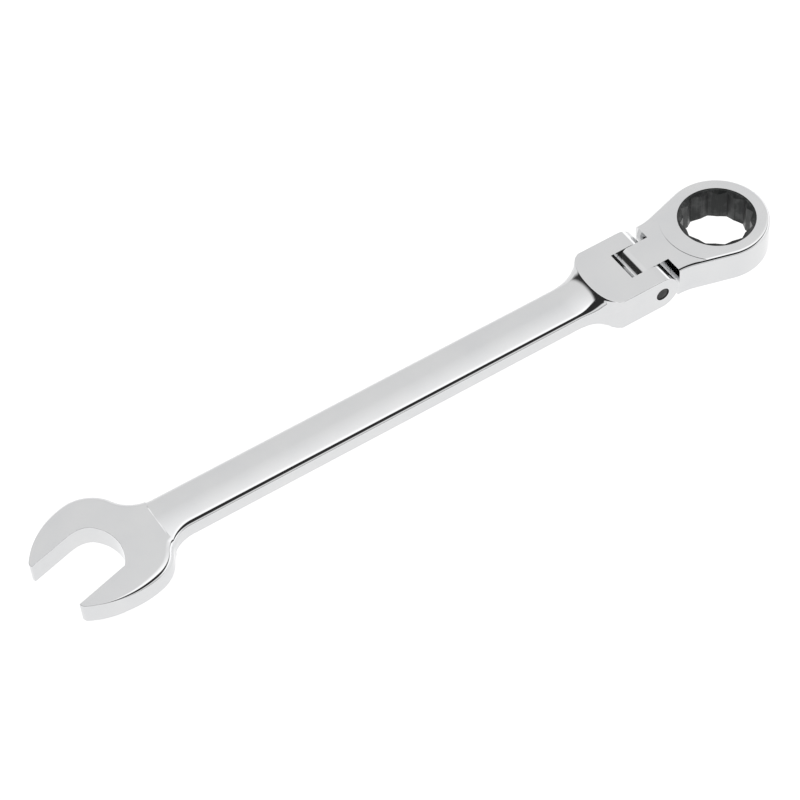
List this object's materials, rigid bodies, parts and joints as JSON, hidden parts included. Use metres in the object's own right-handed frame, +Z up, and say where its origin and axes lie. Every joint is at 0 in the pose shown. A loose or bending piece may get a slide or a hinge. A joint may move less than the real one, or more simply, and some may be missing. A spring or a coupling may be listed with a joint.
{
  "type": "ratchet wrench",
  "caption": "Combination wrench with an angled open jaw at one end and a flexing ratchet head with a twelve-point drive ring at the other.",
  "frame": {"origin": "on the axis of the drive socket, in the plane that the ratchet head and the fork rest on", "axes": "+X from the open end to the ratchet head along the handle, +Z up along the socket's axis"},
  "size_m": [0.2641, 0.0417, 0.0122],
  "materials": {
    "polished_chrome": "mirror polished chrome plate",
    "polished_chrome_head": "mirror polished chrome plate",
    "black_pin": "black oxide",
    "black_gear": "black phosphate, lightly oiled",
    "ring_rubber": "smooth",
    "spring_steel": "bright drawn",
    "pawl_steel": "hardened, dark",
    "ball_steel": "ground and polished"
  },
  "bodies": {
    "handle": {"wrench_body": "polished_chrome", "pivot_pin": "black_pin", "detent_spring": "spring_steel"},
    "head": {"ratchet_head": "polished_chrome_head", "retaining_clip": "spring_steel", "pawl_spring": "spring_steel"},
    "gear": {"drive_gear": "black_gear", "drag_ring": "ring_rubber"},
    "pawl_block": {"pawl": "pawl_steel"},
    "detent": {"detent_ball": "ball_steel"}
  },
  "joints": [
    {"name": "head_flex", "type": "hinge", "parent": "handle", "child": "head", "pos_m": [-0.03035, 0, 0.0061], "axis": [0, 1, 0], "range_deg": [-90, 90]},
    {"name": "gear_spin", "type": "hinge", "parent": "head", "child": "gear", "pos_m": [0, 0, 0], "axis": [0, 0, 1], "continuous": true},
    {"name": "pawl_slide", "type": "slide", "parent": "head", "child": "pawl_block", "axis": [-1, 0, 0], "range_m": [0, 0.0008], "stiffness_N_per_m": 1000, "springref_m": -0.001, "deforming": ["pawl_spring"]},
    {"name": "detent_slide", "type": "slide", "parent": "handle", "child": "detent", "axis": [-1, 0, 0], "range_m": [0, 0.0005], "stiffness_N_per_m": 2000, "springref_m": -0.002, "deforming": ["detent_spring"]}
  ]
}
